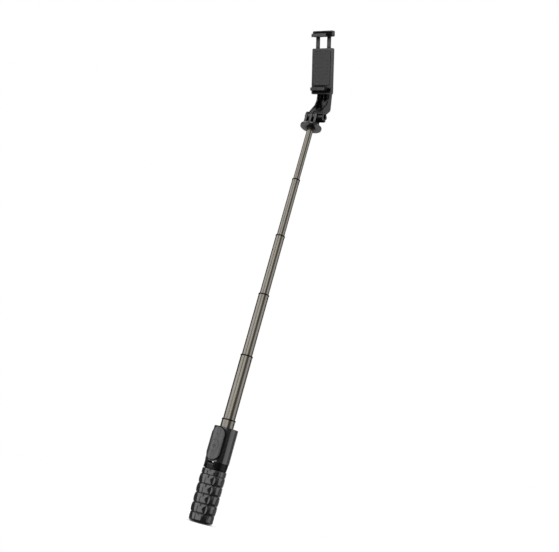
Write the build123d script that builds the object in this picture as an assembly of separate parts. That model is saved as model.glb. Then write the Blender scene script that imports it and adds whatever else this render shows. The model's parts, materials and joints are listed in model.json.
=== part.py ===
"""Telescopic selfie stick with a tripod grip, a detachable remote and a tilting phone clamp.

Millimetres. The origin is on the pole's axis at the bottom of the grip, +Z runs up the pole, and -Y is
the front, where the remote and the phone's screen face.
"""

import os

from build123d import *

# Grip legs
GRIP_RADIUS = 15.65
STUD_BULGE = 0.75
GROOVE_DEPTH = 0.8
GROOVE_HALF_WIDTH = 0.6
FIRST_GROOVE_Z = 11.3
STUD_PITCH = 11.84
STUD_ROWS = 4
LEG_TOP_Z = 65.0
GRIP_END_ROUNDING = 4.0
LEG_GAP = 0.6
LEG_OUTER_WALL = 1.8
LEG_SIDE_WALL = 1.5
LEG_COVER_THICKNESS = 1.3
LEG_COVER_CLEARANCE = 0.1
LEG_CAVITY_BOTTOM_Z = 23.0
LEG_CAVITY_TOP_Z = 62.2
CHANNEL_RADIUS = 8.6
CHANNEL_BOTTOM_Z = 20.5
COVER_SCREW_HEIGHTS = (30.0, 55.0)
COVER_SCREW_HEAD_RADIUS = 1.6
COVER_SCREW_HEAD_HEIGHT = 0.78
COVER_SCREW_SHANK_RADIUS = 0.8
COVER_SCREW_SOCKET_RADIUS = 0.55
COVER_POST_RADIUS = 2.0
SCREW_FIT = 0.05
FOOT_PAD_THICKNESS = 1.6
FOOT_PAD_INNER_RADIUS = 3.0
FOOT_PAD_OUTER_RADIUS = 11.0
FOOT_PAD_MARGIN = 1.6
LEG_AZIMUTHS = {"front": -90.0, "right": 30.0, "left": 150.0}

# Leg hinges
HINGE_Z = 71.35
HINGE_RADIUS = 11.85
KNUCKLE_RADIUS = 3.1
TONGUE_WIDTH = 8.0
EAR_GAP = 0.2
EAR_WIDTH = 2.7
PIN_RADIUS = 1.0
PIN_FIT = 0.06

# Handle housing
HOUSING_BOTTOM_Z = 75.4
HOUSING_TOP_Z = 119.5
HOUSING_RADIUS = 15.65
HOUSING_EDGE_ROUNDING = 0.6
HOUSING_WALL = 2.0
HUB_THICKNESS = 4.2
HUB_LIP_THICKNESS = 1.6
HUB_SKIRT_RADIUS = 13.6
HUB_SKIRT_BOTTOM_Z = 65.5
HUB_SLOT_NEAR = 8.3
HUB_BAND_RADIUS = 15.25
HUB_BAND_BOTTOM_Z = 66.5
HUB_BAND_GAP = 0.1
HUB_SCREW_HEAD_Z = 74.0
HUB_SCREW_RADIUS = 11.3
HUB_SCREW_AZIMUTHS = (-30.0, 90.0, 210.0)
HUB_SCREW_HEAD_RADIUS = 1.85
HUB_SCREW_HEAD_HEIGHT = 1.2
HUB_SCREW_SHANK_RADIUS = 1.0
HUB_SCREW_SHANK_LENGTH = 12.5
HUB_SCREW_SOCKET_RADIUS = 0.7
HUB_BOSS_RADIUS = 2.3
HUB_BOSS_HEIGHT = 11.0
TOP_RING_THICKNESS = 2.0
TOP_RING_RECESS = 2.2
TOP_RING_FIT = 0.03

# Remote and its cradle
REMOTE_CENTRE_Z = 97.6
REMOTE_LENGTH = 41.0
REMOTE_WIDTH = 18.6
REMOTE_FACE_RADIUS = 18.4
REMOTE_BACK_Y = 10.1
REMOTE_SPLIT_Y = 14.0
REMOTE_WALL = 1.1
CRADLE_SIDE_MARGIN = 1.6
CRADLE_END_MARGIN = 0.7
CRADLE_CLEARANCE = 0.2
CRADLE_FACE_RADIUS = 17.6
CRADLE_BACK_Y = 9.1
CRADLE_FLOOR_GAP = 0.2
BUTTON_WIDTH = 10.6
BUTTON_LENGTH = 14.6
BUTTON_CENTRE_Z = 94.7
BUTTON_GAP = 0.2
BUTTON_FLANGE = 0.5
BUTTON_FLANGE_BACK_Y = 14.3
BUTTON_FLANGE_THICKNESS = 0.5
SYMBOL_Z = 94.0
SYMBOL_RADIUS = 1.85
SYMBOL_LINE = 0.6
SYMBOL_DEPTH = 0.25
LED_Z = 109.3
LED_RADIUS = 0.75
CELL_RADIUS = 6.25
CELL_THICKNESS = 2.0
BOARD_BACK_Y = 13.3
BOARD_THICKNESS = 0.6
BOARD_SIDE_GAP = 0.2
SWITCH_RADIUS = 1.0
SWITCH_HEIGHT = 0.6
CELL_EDGE_ROUNDING = 0.3

# Pole
TUBE_COUNT = 6
FIRST_TUBE_DIAMETER = 17.6
DIAMETER_STEP = 1.7
TUBE_WALL = 0.4
FIRST_RING_Z = 130.0
EXPOSURE = 85.6
RING_THICKNESS = 1.6
RING_OVERHANG = 0.35
COLLAR_SLEEVE_LENGTH = 8.0
SHOE_LENGTH = 10.0
SHOE_GAP = 0.2
SLIDING_FIT = 0.05
SEAT_GAP = 0.01
SNAP_HOLE_RADIUS = 1.5
SNAP_HOLE_DROP = 5.0
SNAP_NUB_RADIUS = 1.4
SNAP_NUB_DEPTH = 0.15
SHOE_SLIT = 1.0

# Cap disc and tilt hinge
DISC_BOTTOM_Z = 555.0
DISC_RADIUS = 15.5
DISC_THICKNESS = 3.0
DISC_EDGE_ROUNDING = 0.8
NECK_RADIUS = 6.2
NECK_LENGTH = 3.0
PLUG_LENGTH = 16.0
STUD_RADIUS = 2.4
STUD_LENGTH = 13.0
TILT_Z = 573.3
FIN_RADIUS = 7.4
FIN_THICKNESS = 3.4
FIN_PITCH = 3.75
FIRST_FIN_X = -10.5
FIN_COUNT = 5
ARM_FIN_RADIUS = 6.5
TILT_BOLT_RADIUS = 2.4
TILT_BASE_HEIGHT = 3.0
TILT_BASE_CORNER = 2.5
FIN_SIDE_FIT = 0.05
FIN_SWING_GAP = 0.5
NUT_ACROSS_FLATS = 8.0
NUT_THICKNESS = 2.2
KNOB_START_X = 8.3
KNOB_LENGTH = 9.0
KNOB_RADIUS = 8.0
KNOB_LOBES = 5
KNOB_LOBE_DEPTH = 2.3
KNOB_SCALLOP_RADIUS = 3.0
KNOB_PHASE = 53.0
KNOB_EDGE_ROUNDING = 1.2
KNOB_RECESS_X = KNOB_START_X + 2.0
BOLT_HEAD_ACROSS_FLATS = 7.0
BOLT_HEAD_LENGTH = 3.5
NUT_BOSS_RADIUS = 5.6
NUT_BOSS_LENGTH = 1.8
NUT_BOSS_ROUNDING = 1.2

# Arm, in the plane that leans with the phone: "back" is away from the phone and "up" is along it
LEAN = 30.0
ARM_WIDTH = 20.0
ARM_WALL = 2.0
ARM_RIB_THICKNESS = 1.3
ARM_RIB_SPACING = 5.7
ARM_RIB_START_UP = 23.0
ARM_FRONT_BACK = 28.95
ARM_TOP_UP = 86.5
ARM_CHANNEL_TOP_UP = 60.0
ARM_AXIS_CLEARANCE = 2.2
ARM_CORNER_RADII = {8: 6.0, 5: 1.0, 6: 2.0}
CHANNEL_CORNER_RADII = {3: 4.5}
PIVOT_UP = 76.5
PIVOT_BOLT_RADIUS = 2.0
PIVOT_FIT = 0.08
PIVOT_HEAD_RADIUS = 3.8
PIVOT_HEAD_SEAT_RADIUS = 4.4
PIVOT_NUT_ACROSS_FLATS = 7.0
PIVOT_BOSS_RADIUS = 5.2
WASHER_RADIUS = 6.0

# Phone clamp, in its own frame: x right, y up along the phone, z towards the phone's screen
CLAMP_FACE_BACK = 22.45
CLAMP_THICKNESS = 5.55
CLAMP_WIDTH = 32.4
CLAMP_CORNER = 1.6
CLAMP_WALL = 1.6
JAW_OPENING = 71.6
JAW_BLOCK_HEIGHT = 8.2
JAW_SHELF_WIDTH = 22.4
JAW_SHELF_CENTRE_X = -1.7
JAW_SHELF_THICKNESS = 2.7
JAW_REACH = 10.6
JAW_LIP_THICKNESS = 1.5
JAW_LIP_OVERLAP = 1.0
JAW_PANEL_RIM = 1.7
JAW_PANEL_DEPTH = 3.4
JAW_PAD_THICKNESS = 0.8
JAW_PAD_MARGIN = 1.2
JAW_PAD_GROOVES = 5
JAW_PAD_GROOVE_PITCH = 1.5
JAW_PAD_GROOVE_WIDTH = 0.6
JAW_EDGE_ROUNDING = 0.5
JAW_TAB_HEIGHT = 2.5
BODY_TOP_Y = 20.0
REAR_COVER_THICKNESS = 1.4
TONGUE_INNER_X = 6.0
TONGUE_OUTER_X = 11.5
TONGUE_BOTTOM_Y = -3.0
TONGUE_THICKNESS = 1.95
TONGUE_GAP = 0.3
SPRING_X = 13.2
SPRING_RADIUS = 1.1
SPRING_WALL = 0.4
SPRING_POST_RADIUS = 0.9
SPRING_POST_Y = -33.6
CLAMP_CAVITY_BOTTOM_Y = -35.4
COVER_SCREW_PLACES = ((-6.0, -33.4), (6.0, -33.4), (-2.6, 15.0), (2.6, 15.0))
COVER_POST_OUTER_RADIUS = 1.7
BACK_PAD_REACH = 13.0
BACK_PAD_BOTTOM_Y = -31.0
BACK_PAD_TOP_Y = 16.0
BACK_PAD_THICKNESS = 0.7
BACK_PAD_CORNER = 2.5
BACK_PAD_GROOVES = 9
BACK_PAD_GROOVE_PITCH = 4.8
BACK_PAD_GROOVE_WIDTH = 1.2
BACK_PAD_GROOVE_REACH = 10.5
BACK_PAD_FIRST_GROOVE_Y = -27.2

FAR = 60.0


def tube_radius(number):
    """Outer radius of a tube, counted from 1 at the grip."""
    return (FIRST_TUBE_DIAMETER - DIAMETER_STEP * (number - 1)) / 2


def ring_z(number):
    """Height of the ring at the top of a tube."""
    return FIRST_RING_Z + EXPOSURE * (number - 1)


def ring(outer, inner, bottom, top):
    """A plain ring round the pole's axis."""
    height = top - bottom
    return Pos(0, 0, (bottom + top) / 2) * (Cylinder(outer, height) - Cylinder(inner, height))


def wedge(offset, bottom, top):
    """A 120 degree wedge about -Y whose two sides stand back from the radial planes by the offset."""
    apex = -offset / sin_deg(60)
    side_x = FAR * sin_deg(60)
    side_y = apex - FAR * cos_deg(60)
    corners = [(0, apex), (-side_x, side_y), (-FAR, -FAR), (FAR, -FAR), (side_x, side_y)]
    outline = make_face(Polyline(*corners, close=True))
    return extrude(Pos(0, 0, bottom) * outline, top - bottom)


def sin_deg(angle):
    """Sine of an angle in degrees."""
    return Vector(0, 1).dot(Vector(1, 0).rotate(Axis.Z, angle))


def cos_deg(angle):
    """Cosine of an angle in degrees."""
    return Vector(1, 0).dot(Vector(1, 0).rotate(Axis.Z, angle))


def stadium(width, length, near_y, far_y):
    """A prism along Y with a stadium outline on the remote's centre, between two distances in front."""
    outline = Plane.XZ * Pos(0, REMOTE_CENTRE_Z) * SlotOverall(length, width, rotation=90)
    return extrude(Pos(0, -near_y, 0) * outline, far_y - near_y)


def facing(azimuth):
    """Turns a piece made at the front to another azimuth."""
    return Rot(0, 0, azimuth + 90)


# Grip legs


def grip_solid():
    """The grip as one turned solid, with a bulge for each row of studs and a groove between rows."""
    with BuildSketch(Plane.XZ) as section:
        with BuildLine():
            Line((0, 0), (GRIP_RADIUS - GRIP_END_ROUNDING, 0))
            RadiusArc(
                (GRIP_RADIUS - GRIP_END_ROUNDING, 0), (GRIP_RADIUS, GRIP_END_ROUNDING), -GRIP_END_ROUNDING
            )
            start = (GRIP_RADIUS, GRIP_END_ROUNDING)
            for row in range(STUD_ROWS + 1):
                groove_z = FIRST_GROOVE_Z + STUD_PITCH * row
                below = (GRIP_RADIUS, groove_z - GROOVE_HALF_WIDTH)
                above = (GRIP_RADIUS, groove_z + GROOVE_HALF_WIDTH)
                if row == 0:
                    Line(start, below)
                else:
                    bulge = (GRIP_RADIUS + STUD_BULGE, groove_z - STUD_PITCH / 2)
                    ThreePointArc(start, bulge, below)
                Polyline(below, (GRIP_RADIUS - GROOVE_DEPTH, groove_z), above)
                start = above
            Polyline(start, (GRIP_RADIUS, LEG_TOP_Z), (0, LEG_TOP_Z), (0, 0))
        make_face()
    return revolve(section.sketch, Axis.Z)


def knuckle(half_width, radius):
    """A rounded lug across the hinge axis, as wide as twice the half width."""
    return Pos(0, -HINGE_RADIUS, HINGE_Z) * Rot(0, 90, 0) * Cylinder(radius, 2 * half_width)


def screw_post(radius, near, far, z):
    """A round post that points at the pole's axis from the front."""
    return Pos(0, -(near + far) / 2, z) * Rot(90, 0, 0) * Cylinder(radius, far - near)


def leg_shell():
    """The studded outer shell of one leg, open towards the pole, with its hinge tongue."""
    body = grip_solid() & wedge(LEG_GAP / 2, 0, LEG_TOP_Z)
    body -= Pos(0, 0, (CHANNEL_BOTTOM_Z + LEG_TOP_Z) / 2) * Cylinder(
        CHANNEL_RADIUS, LEG_TOP_Z - CHANNEL_BOTTOM_Z + 0.001
    )
    hollow = wedge(LEG_GAP / 2 + LEG_SIDE_WALL, LEG_CAVITY_BOTTOM_Z, LEG_CAVITY_TOP_Z)
    hollow &= ring(
        GRIP_RADIUS - LEG_OUTER_WALL, CHANNEL_RADIUS - 1, LEG_CAVITY_BOTTOM_Z, LEG_CAVITY_TOP_Z
    )
    body -= hollow
    post_end = CHANNEL_RADIUS + LEG_COVER_THICKNESS + LEG_COVER_CLEARANCE
    wall_radius = GRIP_RADIUS - LEG_OUTER_WALL
    for z in COVER_SCREW_HEIGHTS:
        body += screw_post(COVER_POST_RADIUS, post_end, wall_radius + 0.3, z)
        body -= screw_post(COVER_SCREW_SHANK_RADIUS + SCREW_FIT, post_end - 1, wall_radius - 0.4, z)
    tongue = knuckle(TONGUE_WIDTH / 2, KNUCKLE_RADIUS)
    tongue += Pos(0, -HINGE_RADIUS, (HINGE_Z + LEG_TOP_Z) / 2) * Box(
        TONGUE_WIDTH, 2 * KNUCKLE_RADIUS, HINGE_Z - LEG_TOP_Z
    )
    body += tongue
    body -= knuckle(TONGUE_WIDTH, PIN_RADIUS + PIN_FIT)
    return body - foot_pad()


def foot_pad():
    """The rubber pad let into the bottom of one leg."""
    pad = wedge(LEG_GAP / 2 + FOOT_PAD_MARGIN, 0, FOOT_PAD_THICKNESS)
    return pad & ring(FOOT_PAD_OUTER_RADIUS, FOOT_PAD_INNER_RADIUS, 0, FOOT_PAD_THICKNESS)


def leg_cover():
    """The curved cover that closes one leg towards the pole."""
    low = LEG_CAVITY_BOTTOM_Z + LEG_COVER_CLEARANCE
    high = LEG_CAVITY_TOP_Z - LEG_COVER_CLEARANCE
    cover = ring(CHANNEL_RADIUS + LEG_COVER_THICKNESS, CHANNEL_RADIUS, low, high)
    cover &= wedge(LEG_GAP / 2 + LEG_SIDE_WALL + LEG_COVER_CLEARANCE, low, high)
    for z in COVER_SCREW_HEIGHTS:
        outside = CHANNEL_RADIUS + LEG_COVER_THICKNESS + 1
        cover -= screw_post(COVER_SCREW_SHANK_RADIUS + 2 * SCREW_FIT, CHANNEL_RADIUS - 1, outside, z)
        cover -= screw_post(COVER_SCREW_HEAD_RADIUS + SCREW_FIT, CHANNEL_RADIUS - 1, CHANNEL_RADIUS + 0.95, z)
    return cover


def leg_screws():
    """The two screws that hold one leg's cover."""
    screws = []
    near = CHANNEL_RADIUS + 0.15
    far = near + COVER_SCREW_HEAD_HEIGHT
    tip = GRIP_RADIUS - LEG_OUTER_WALL - 0.6
    for z in COVER_SCREW_HEIGHTS:
        head = screw_post(COVER_SCREW_HEAD_RADIUS, near, far, z)
        head -= screw_post(COVER_SCREW_SOCKET_RADIUS, near - 0.15, near + COVER_SCREW_HEAD_HEIGHT / 2, z)
        shank = screw_post(COVER_SCREW_SHANK_RADIUS, far - 0.03, tip, z)
        screws.append(head + shank)
    return Compound(screws)


# Hub and housing


def hub_screw_places():
    """Where the three hub screws stand, between the legs."""
    return [Rot(0, 0, azimuth) * Pos(HUB_SCREW_RADIUS, 0, 0) for azimuth in HUB_SCREW_AZIMUTHS]


def hinge_hub():
    """The hub that carries the three leg hinges and seats the pole's first tube."""
    top = HOUSING_BOTTOM_Z + HUB_THICKNESS
    seat = HOUSING_BOTTOM_Z + HUB_LIP_THICKNESS
    hub = ring(HOUSING_RADIUS - HOUSING_WALL - 0.1, CHANNEL_RADIUS, HOUSING_BOTTOM_Z, top)
    hub -= ring(tube_radius(1) + SEAT_GAP, CHANNEL_RADIUS - 1, seat, top + 1)
    hub += ring(HUB_SKIRT_RADIUS, CHANNEL_RADIUS, HUB_SKIRT_BOTTOM_Z, HOUSING_BOTTOM_Z)
    hub += ring(HUB_BAND_RADIUS, CHANNEL_RADIUS, HUB_BAND_BOTTOM_Z, HOUSING_BOTTOM_Z - HUB_BAND_GAP)
    hub -= stadium(cradle_width() + 0.3, cradle_length() + 0.3, CRADLE_BACK_Y - 0.15, FAR)
    inner = TONGUE_WIDTH / 2 + EAR_GAP
    slot = Pos(0, -HUB_SLOT_NEAR - FAR / 2, HOUSING_BOTTOM_Z - FAR / 2) * Box(2 * inner, FAR, FAR)
    ear = knuckle(EAR_WIDTH / 2, KNUCKLE_RADIUS)
    ear += Pos(0, -HINGE_RADIUS, (HINGE_Z + HOUSING_BOTTOM_Z) / 2) * Box(
        EAR_WIDTH, 2 * KNUCKLE_RADIUS, HOUSING_BOTTOM_Z - HINGE_Z
    )
    pair = Pos(inner + EAR_WIDTH / 2, 0, 0) * ear + Pos(-inner - EAR_WIDTH / 2, 0, 0) * ear
    pin_hole = knuckle(inner + EAR_WIDTH, PIN_RADIUS + SEAT_GAP)
    for azimuth in LEG_AZIMUTHS.values():
        hub -= facing(azimuth) * slot
        hub += facing(azimuth) * pair
        hub -= facing(azimuth) * pin_hole
    for place in hub_screw_places():
        hub -= place * Pos(0, 0, HOUSING_BOTTOM_Z) * Cylinder(HUB_SCREW_SHANK_RADIUS + 2 * SCREW_FIT, FAR)
        seat = place * Pos(0, 0, HUB_SCREW_HEAD_Z - FAR / 2)
        hub -= seat * Cylinder(HUB_SCREW_HEAD_RADIUS + 2 * SCREW_FIT, FAR)
    return hub


def hinge_pins():
    """The three steel pins of the leg hinges."""
    length = TONGUE_WIDTH / 2 + EAR_GAP + EAR_WIDTH - 0.1
    return Compound([facing(azimuth) * knuckle(length, PIN_RADIUS) for azimuth in LEG_AZIMUTHS.values()])


def hub_screws():
    """The three screws that hold the hub in the housing."""
    screw = Cylinder(HUB_SCREW_HEAD_RADIUS, HUB_SCREW_HEAD_HEIGHT)
    screw -= Pos(0, 0, -HUB_SCREW_HEAD_HEIGHT / 3) * Cylinder(HUB_SCREW_SOCKET_RADIUS, 0.9)
    screw += Pos(0, 0, HUB_SCREW_SHANK_LENGTH / 2) * Cylinder(HUB_SCREW_SHANK_RADIUS, HUB_SCREW_SHANK_LENGTH)
    screw = Pos(0, 0, HUB_SCREW_HEAD_Z - HUB_SCREW_HEAD_HEIGHT / 2 - SCREW_FIT) * screw
    return Compound([place * screw for place in hub_screw_places()])


def handle_housing():
    """The round sleeve of the handle, with posts for the hub screws and an opening for the cradle."""
    inner = HOUSING_RADIUS - HOUSING_WALL
    sleeve = ring(HOUSING_RADIUS, inner, HOUSING_BOTTOM_Z, HOUSING_TOP_Z)
    top_rim = sleeve.edges().filter_by(GeomType.CIRCLE).group_by(Axis.Z)[-1].sort_by(SortBy.RADIUS)[-1]
    sleeve = fillet(top_rim, HOUSING_EDGE_ROUNDING)
    post_bottom = HOUSING_BOTTOM_Z + HUB_THICKNESS + 0.1
    for place in hub_screw_places():
        middle = post_bottom + HUB_BOSS_HEIGHT / 2
        post = place * Pos(0, 0, middle) * Cylinder(HUB_BOSS_RADIUS, HUB_BOSS_HEIGHT)
        sleeve += post & ring(HOUSING_RADIUS - 0.5, tube_radius(1) + 0.2, post_bottom, HOUSING_TOP_Z)
        sleeve -= place * Pos(0, 0, post_bottom) * Cylinder(HUB_SCREW_SHANK_RADIUS + SCREW_FIT, 18)
    return sleeve - stadium(cradle_width() + 0.1, cradle_length() + 0.1, CRADLE_BACK_Y - 0.1, FAR)


def housing_ring():
    """The ring that closes the top of the housing round the first tube."""
    top = HOUSING_TOP_Z - TOP_RING_RECESS
    outer = HOUSING_RADIUS - HOUSING_WALL - TOP_RING_FIT
    closing = ring(outer, tube_radius(1) + TOP_RING_FIT, top - TOP_RING_THICKNESS, top)
    return closing - stadium(cradle_width() + 0.2, cradle_length() + 0.2, CRADLE_BACK_Y - 0.15, FAR)


# Remote


def cradle_width():
    """Width of the cradle's outside."""
    return REMOTE_WIDTH + 2 * (CRADLE_SIDE_MARGIN + CRADLE_CLEARANCE)


def cradle_length():
    """Length of the cradle's outside."""
    return REMOTE_LENGTH + 2 * (CRADLE_END_MARGIN + CRADLE_CLEARANCE)


def round_face(radius):
    """A tall cylinder that rounds the front of the remote and its cradle about the pole."""
    return Pos(0, 0, REMOTE_CENTRE_Z) * Cylinder(radius, 2 * FAR)


def remote_cradle():
    """The rimmed tray in the housing that the remote sits in."""
    tray = stadium(cradle_width(), cradle_length(), CRADLE_BACK_Y, FAR / 2) & round_face(CRADLE_FACE_RADIUS)
    width = REMOTE_WIDTH + 2 * CRADLE_CLEARANCE
    length = REMOTE_LENGTH + 2 * CRADLE_CLEARANCE
    return tray - stadium(width, length, REMOTE_BACK_Y - CRADLE_FLOOR_GAP, FAR)


def remote_body():
    """The whole outside of the remote, with a face that is round about the pole."""
    return stadium(REMOTE_WIDTH, REMOTE_LENGTH, REMOTE_BACK_Y, FAR / 2) & round_face(REMOTE_FACE_RADIUS)


def remote_inside(front_y):
    """The space inside the remote's walls, up to a distance in front of the pole."""
    width = REMOTE_WIDTH - 2 * REMOTE_WALL
    length = REMOTE_LENGTH - 2 * REMOTE_WALL
    return stadium(width, length, REMOTE_BACK_Y + REMOTE_WALL, front_y)


def remote_back_shell():
    """The back half of the remote's case."""
    below = stadium(2 * FAR, 2 * FAR + 1, 0, REMOTE_SPLIT_Y)
    return (remote_body() & below) - remote_inside(FAR)


def button_prism(margin, near_y, far_y):
    """The button's outline as a prism along Y, grown by a margin."""
    outline = Plane.XZ * Pos(0, BUTTON_CENTRE_Z) * SlotOverall(
        BUTTON_LENGTH + 2 * margin, BUTTON_WIDTH + 2 * margin, rotation=90
    )
    return extrude(Pos(0, -near_y, 0) * outline, far_y - near_y)


def led_hole(radius, near_y, far_y):
    """A round prism along Y at the indicator."""
    return Pos(0, -(near_y + far_y) / 2, LED_Z) * Rot(90, 0, 0) * Cylinder(radius, far_y - near_y)


def remote_front_shell():
    """The front half of the remote's case, with openings for the button and the indicator."""
    beyond = stadium(2 * FAR, 2 * FAR + 1, REMOTE_SPLIT_Y + 0.02, FAR)
    shell = (remote_body() & beyond) - (remote_inside(FAR) & round_face(REMOTE_FACE_RADIUS - REMOTE_WALL))
    shell -= button_prism(BUTTON_GAP, REMOTE_BACK_Y, FAR)
    return shell - led_hole(LED_RADIUS + SEAT_GAP, REMOTE_BACK_Y, FAR)


def remote_button():
    """The press button, with a flange that keeps it in the case."""
    key = button_prism(0, BUTTON_FLANGE_BACK_Y, FAR / 2) & round_face(REMOTE_FACE_RADIUS + 0.05)
    flange_front = BUTTON_FLANGE_BACK_Y + BUTTON_FLANGE_THICKNESS
    key += button_prism(BUTTON_FLANGE, BUTTON_FLANGE_BACK_Y, flange_front)
    symbol = Plane.XZ * Pos(0, SYMBOL_Z) * (Circle(SYMBOL_RADIUS) - Circle(SYMBOL_RADIUS - SYMBOL_LINE))
    return key - extrude(Pos(0, -REMOTE_FACE_RADIUS + SYMBOL_DEPTH, 0) * symbol, 2)


def remote_board():
    """The remote's circuit board."""
    width = REMOTE_WIDTH - 2 * (REMOTE_WALL + BOARD_SIDE_GAP)
    length = REMOTE_LENGTH - 2 * (REMOTE_WALL + BOARD_SIDE_GAP)
    front = BOARD_BACK_Y + BOARD_THICKNESS
    return stadium(width, length, BOARD_BACK_Y, front) + led_hole(SWITCH_RADIUS, front, front + SWITCH_HEIGHT)


def remote_cell():
    """The remote's coin cell, behind the board."""
    near = BOARD_BACK_Y - 0.05 - CELL_THICKNESS
    place = Pos(0, -near - CELL_THICKNESS / 2, REMOTE_CENTRE_Z) * Rot(90, 0, 0)
    return place * fillet(Cylinder(CELL_RADIUS, CELL_THICKNESS).edges(), CELL_EDGE_ROUNDING)


def remote_lens():
    """The clear pin that brings the indicator's light to the face."""
    return led_hole(LED_RADIUS, BOARD_BACK_Y + BOARD_THICKNESS + 0.7, REMOTE_FACE_RADIUS - 0.1)


# Pole


def tube(number):
    """One tube of the pole, with the hole that its collar snaps into."""
    outer = tube_radius(number)
    top = ring_z(number) - RING_THICKNESS / 2 if number < TUBE_COUNT else DISC_BOTTOM_Z
    bottom = HOUSING_BOTTOM_Z + HUB_LIP_THICKNESS if number == 1 else shoe_bottom(number)
    pipe = ring(outer, outer - TUBE_WALL, bottom, top)
    if number < TUBE_COUNT:
        hole_z = ring_z(number) - SNAP_HOLE_DROP
        pipe -= Pos(outer, 0, hole_z) * Rot(0, 90, 0) * Cylinder(SNAP_HOLE_RADIUS, outer)
    return pipe


def shoe_bottom(number):
    """Bottom of a sliding tube, where its friction shoe starts."""
    return ring_z(number - 1) - COLLAR_SLEEVE_LENGTH - SHOE_GAP - SHOE_LENGTH


def collar(number):
    """The collar in the top of a tube, which guides the next tube, with its snap nub."""
    outer = tube_radius(number)
    bore = tube_radius(number + 1) + SLIDING_FIT
    middle = ring_z(number)
    flange_bottom = middle - RING_THICKNESS / 2
    sleeve = outer - TUBE_WALL - SEAT_GAP
    piece = ring(outer + RING_OVERHANG, bore, flange_bottom, middle + RING_THICKNESS / 2)
    piece += ring(sleeve, bore, middle - COLLAR_SLEEVE_LENGTH, flange_bottom)
    nub = Pos(outer, 0, middle - SNAP_HOLE_DROP) * Rot(0, 90, 0) * Cylinder(SNAP_NUB_RADIUS, outer)
    return piece + (nub & ring(outer - SNAP_NUB_DEPTH, bore, middle - COLLAR_SLEEVE_LENGTH, flange_bottom))


def friction_shoe(number):
    """The split sleeve at the foot of a sliding tube, which rubs in the tube before it."""
    bore = tube_radius(number - 1) - TUBE_WALL
    bottom = shoe_bottom(number)
    shoe = ring(bore - SLIDING_FIT, tube_radius(number) + SEAT_GAP, bottom, bottom + SHOE_LENGTH)
    return shoe - Pos(0, bore, bottom + SHOE_LENGTH / 2) * Box(SHOE_SLIT, bore, SHOE_LENGTH)


def pole_plug():
    """The plug in the top of the last tube, threaded for the head's stud."""
    outer = tube_radius(TUBE_COUNT) - TUBE_WALL - SEAT_GAP
    return ring(outer, STUD_RADIUS + SEAT_GAP, DISC_BOTTOM_Z - PLUG_LENGTH, DISC_BOTTOM_Z - 0.01)


# Head


def cap_disc():
    """The round cap on the pole, with its neck over the last tube."""
    disc = Pos(0, 0, DISC_BOTTOM_Z + DISC_THICKNESS / 2) * Cylinder(DISC_RADIUS, DISC_THICKNESS)
    disc = fillet(disc.edges().filter_by(GeomType.CIRCLE), DISC_EDGE_ROUNDING)
    neck = Pos(0, 0, DISC_BOTTOM_Z - NECK_LENGTH) * Cylinder(NECK_RADIUS, 2 * NECK_LENGTH)
    neck &= ring(NECK_RADIUS, 1, DISC_BOTTOM_Z - NECK_LENGTH, DISC_BOTTOM_Z + 0.5)
    disc += chamfer(neck.edges().group_by(Axis.Z)[0].sort_by(SortBy.RADIUS)[-1], DISC_EDGE_ROUNDING)
    disc -= Pos(0, 0, DISC_BOTTOM_Z) * Cylinder(STUD_RADIUS + 0.1, 20)
    tube_seat = tube_radius(TUBE_COUNT) + SEAT_GAP
    return disc - Pos(0, 0, DISC_BOTTOM_Z - FAR / 2) * Cylinder(tube_seat, FAR)


def fin_x(index):
    """Middle of a fin along the tilt axis, counted from the left."""
    return FIRST_FIN_X + FIN_THICKNESS / 2 + FIN_PITCH * index


def cross_bore(radius, low_x, high_x):
    """A cylinder on the tilt axis between two places along X."""
    return Pos((low_x + high_x) / 2, 0, TILT_Z) * Rot(0, 90, 0) * Cylinder(radius, high_x - low_x)


def stack_ends():
    """Where the stack of fins starts and ends along X."""
    return fin_x(0) - FIN_THICKNESS / 2, fin_x(FIN_COUNT - 1) + FIN_THICKNESS / 2


def nut_prism(across_flats, thickness, low_x):
    """A hexagonal prism on the tilt axis."""
    outline = RegularPolygon(across_flats / 2, 6, major_radius=False)
    return Pos(low_x, 0, TILT_Z) * Rot(0, 90, 0) * extrude(outline, thickness)


def tilt_base():
    """The three fins that stand on the cap disc."""
    low_x, high_x = stack_ends()
    foot_z = DISC_BOTTOM_Z + DISC_THICKNESS
    base = Pos((low_x + high_x) / 2, 0, foot_z + TILT_BASE_HEIGHT / 2) * Box(
        high_x - low_x, 2 * FIN_RADIUS, TILT_BASE_HEIGHT
    )
    base = fillet(base.edges().filter_by(Axis.Z), TILT_BASE_CORNER)
    for index in range(0, FIN_COUNT, 2):
        half = FIN_THICKNESS / 2
        base += cross_bore(FIN_RADIUS, fin_x(index) - half, fin_x(index) + half)
        web = Box(FIN_THICKNESS, 2 * FIN_RADIUS - 1.6, TILT_Z - foot_z)
        base += Pos(fin_x(index), 0, (TILT_Z + foot_z) / 2) * web
    boss = cross_bore(NUT_BOSS_RADIUS, low_x - NUT_BOSS_LENGTH, low_x + 0.5)
    base += fillet(boss.edges().group_by(Axis.X)[0], NUT_BOSS_ROUNDING)
    base -= cross_bore(TILT_BOLT_RADIUS + SLIDING_FIT, low_x - 3, high_x + 1)
    base -= nut_prism(NUT_ACROSS_FLATS + 0.1, NUT_THICKNESS + 2, low_x - NUT_BOSS_LENGTH - 2)
    swing_start = fin_x(0) + FIN_THICKNESS / 2 + FIN_SIDE_FIT
    swing_end = fin_x(2) - FIN_THICKNESS / 2 - FIN_SIDE_FIT
    swing = cross_bore(FIN_RADIUS + FIN_SWING_GAP, swing_start, swing_end)
    base -= swing
    base -= Pos(2 * FIN_PITCH, 0, 0) * swing
    return base - Pos(0, 0, foot_z) * Cylinder(STUD_RADIUS + 0.1, 2 * TILT_BASE_HEIGHT)


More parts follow.
